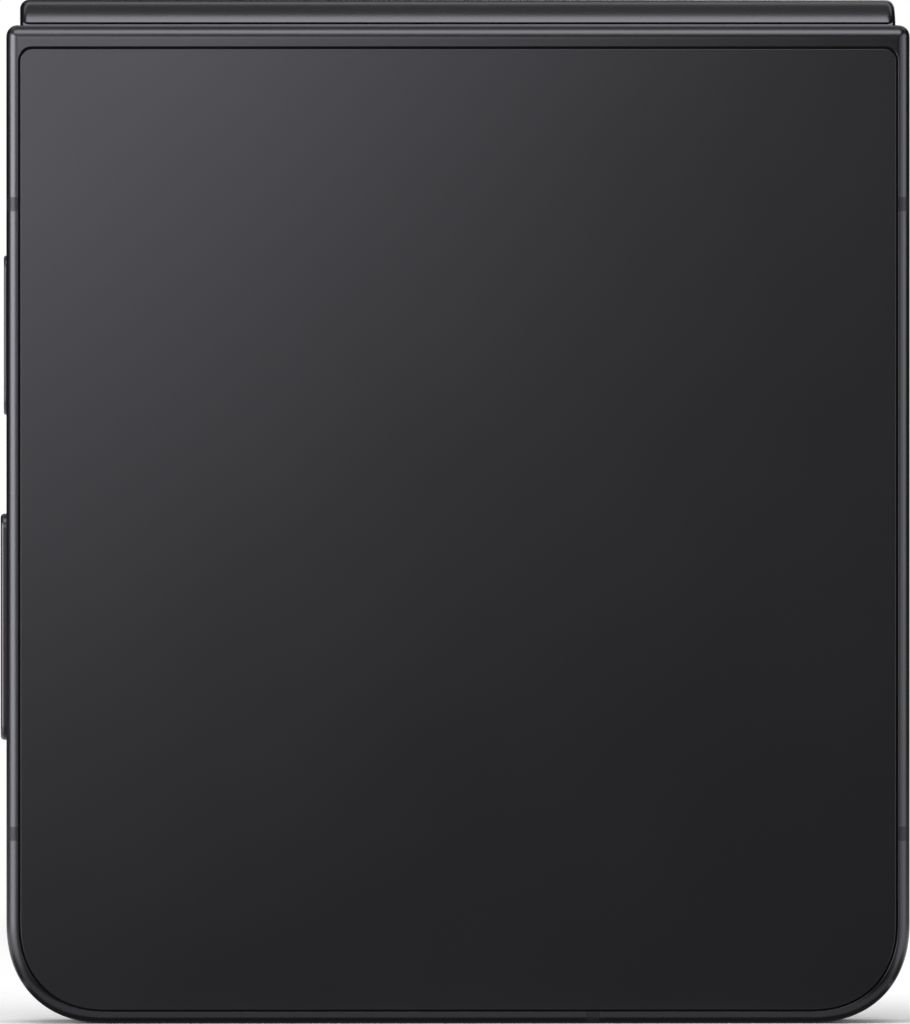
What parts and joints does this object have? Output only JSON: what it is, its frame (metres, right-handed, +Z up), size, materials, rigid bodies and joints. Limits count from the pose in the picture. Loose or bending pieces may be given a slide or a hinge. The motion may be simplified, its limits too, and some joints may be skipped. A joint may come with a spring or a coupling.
{
  "type": "flip phone",
  "caption": "Folding smartphone shown shut: two slim halves with glass backs and metal frames, joined by a geared double-axis hinge in a rounded spine",
  "frame": {"origin": "centre of the shut phone's footprint, on the surface that its free ends stand on", "axes": "+X across the phone, +Y from the half with the charging port to the half with the keys, +Z up towards the hinge"},
  "size_m": [0.0757, 0.0146, 0.0853],
  "materials": {
    "antenna_plastic": "plastic insert flush with the frame",
    "battery_wrap": "black pouch wrap",
    "black_plastic": "moulded housing",
    "board_green": "solder-masked board",
    "bumper": "soft bumper",
    "bush_bronze": "sintered bronze",
    "copper": "enamelled copper winding",
    "cover_screen": "dark screen, switched off",
    "ferrite": "ferrite film",
    "flex_film": "polyimide film",
    "frame_metal": "satin graphite anodised aluminium",
    "gear_steel": "sintered and ground steel",
    "inner_screen": "dark screen, switched off",
    "key_metal": "satin graphite anodised aluminium",
    "lamp": "clear lens over phosphor",
    "mesh_black": "woven dust mesh",
    "microphone": "gold-plated can",
    "mid_plate": "die-cast and milled",
    "outer_glass": "gloss black glass with an opaque backing",
    "rim_plastic": "black moulded rim",
    "ring_metal": "turned graphite aluminium",
    "screw_steel": "blackened steel",
    "seal": "black adhesive gasket",
    "sheet_steel": "stamped stainless sheet",
    "spine_metal": "satin graphite anodised aluminium"
  },
  "bodies": {
    "upper_half": {"upper_frame": "frame_metal", "upper_antenna_breaks": "antenna_plastic", "upper_screen_rim": "rim_plastic", "upper_inner_screen": "inner_screen", "upper_screen_backing": "sheet_steel", "upper_mid_plate": "mid_plate", "upper_hinge_plate": "sheet_steel", "upper_gear_arms": "gear_steel", "upper_battery": "battery_wrap", "upper_screws": "screw_steel", "cover_glass": "outer_glass", "cover_glass_seal": "seal", "cover_screen": "cover_screen", "screen_bumpers": "bumper", "main_board": "board_green", "board_chips": "black_plastic", "board_shield": "sheet_steel", "rear_cameras": "black_plastic", "camera_rings": "ring_metal", "camera_windows": "outer_glass", "flash_led": "lamp", "front_camera": "black_plastic", "earpiece": "black_plastic", "top_microphone": "microphone", "key_flex": "flex_film", "card_socket": "sheet_steel"},
    "spine": {"spine_cover": "spine_metal", "spine_bracket": "mid_plate", "hinge_shafts": "gear_steel", "brake_springs": "gear_steel", "brake_bushes": "bush_bronze", "spine_screws": "screw_steel", "fold_screen": "inner_screen", "hinge_flexes": "flex_film"},
    "lower_half": {"lower_frame": "frame_metal", "lower_antenna_breaks": "antenna_plastic", "rear_glass": "outer_glass", "rear_glass_seal": "seal", "lower_screen_rim": "rim_plastic", "lower_inner_screen": "inner_screen", "lower_screen_backing": "sheet_steel", "lower_mid_plate": "mid_plate", "lower_hinge_plate": "sheet_steel", "lower_gear_arms": "gear_steel", "lower_battery": "battery_wrap", "charging_coil": "copper", "coil_ferrite": "ferrite", "sub_board": "board_green", "charging_port": "sheet_steel", "charging_port_tongue": "black_plastic", "loudspeaker": "black_plastic", "loudspeaker_mesh": "mesh_black", "vibration_motor": "sheet_steel", "bottom_microphone": "microphone", "lower_screws": "screw_steel"},
    "power_key": {"power_key": "key_metal"},
    "volume_key": {"volume_key": "key_metal"},
    "card_tray": {"card_tray": "key_metal"},
    "rear_idlers": {"rear_idler_gears": "gear_steel"},
    "front_idlers": {"front_idler_gears": "gear_steel"}
  },
  "joints": [
    {"name": "spine_fold", "type": "hinge", "parent": "upper_half", "child": "spine", "pos_m": [0, 0.00192, 0.08143], "axis": [-1, 0, 0], "range_deg": [0, 90], "deforming": ["fold_screen", "hinge_flexes"]},
    {"name": "lower_fold", "type": "hinge", "parent": "spine", "child": "lower_half", "pos_m": [0, -0.00192, 0.08143], "axis": [-1, 0, 0], "range_deg": [0, 90]},
    {"name": "rear_idler_turn", "type": "hinge", "parent": "spine", "child": "rear_idlers", "pos_m": [0, 0.0008, 0.08321], "axis": [-1, 0, 0], "range_deg": [0, 146.25]},
    {"name": "front_idler_turn", "type": "hinge", "parent": "spine", "child": "front_idlers", "pos_m": [0, -0.0008, 0.08321], "axis": [1, 0, 0], "range_deg": [0, 146.25]},
    {"name": "power_key_press", "type": "slide", "parent": "upper_half", "child": "power_key", "axis": [1, 0, 0], "range_m": [0, 0.0002], "stiffness_N_per_m": 2000},
    {"name": "volume_key_rock", "type": "hinge", "parent": "upper_half", "child": "volume_key", "pos_m": [-0.0363, 0.0036, 0.03285], "axis": [0, 1, 0], "range_deg": [-1.2, 1.2], "stiffness_Nm_per_rad": 0.2},
    {"name": "card_tray_slide", "type": "slide", "parent": "upper_half", "child": "card_tray", "axis": [1, 0, 0], "range_m": [0, 0.02]}
  ],
  "couplings": [
    {"joint": "lower_fold", "follows": "spine_fold", "ratio": 1},
    {"joint": "rear_idler_turn", "follows": "spine_fold", "ratio": 1.625},
    {"joint": "front_idler_turn", "follows": "spine_fold", "ratio": 1.625}
  ]
}
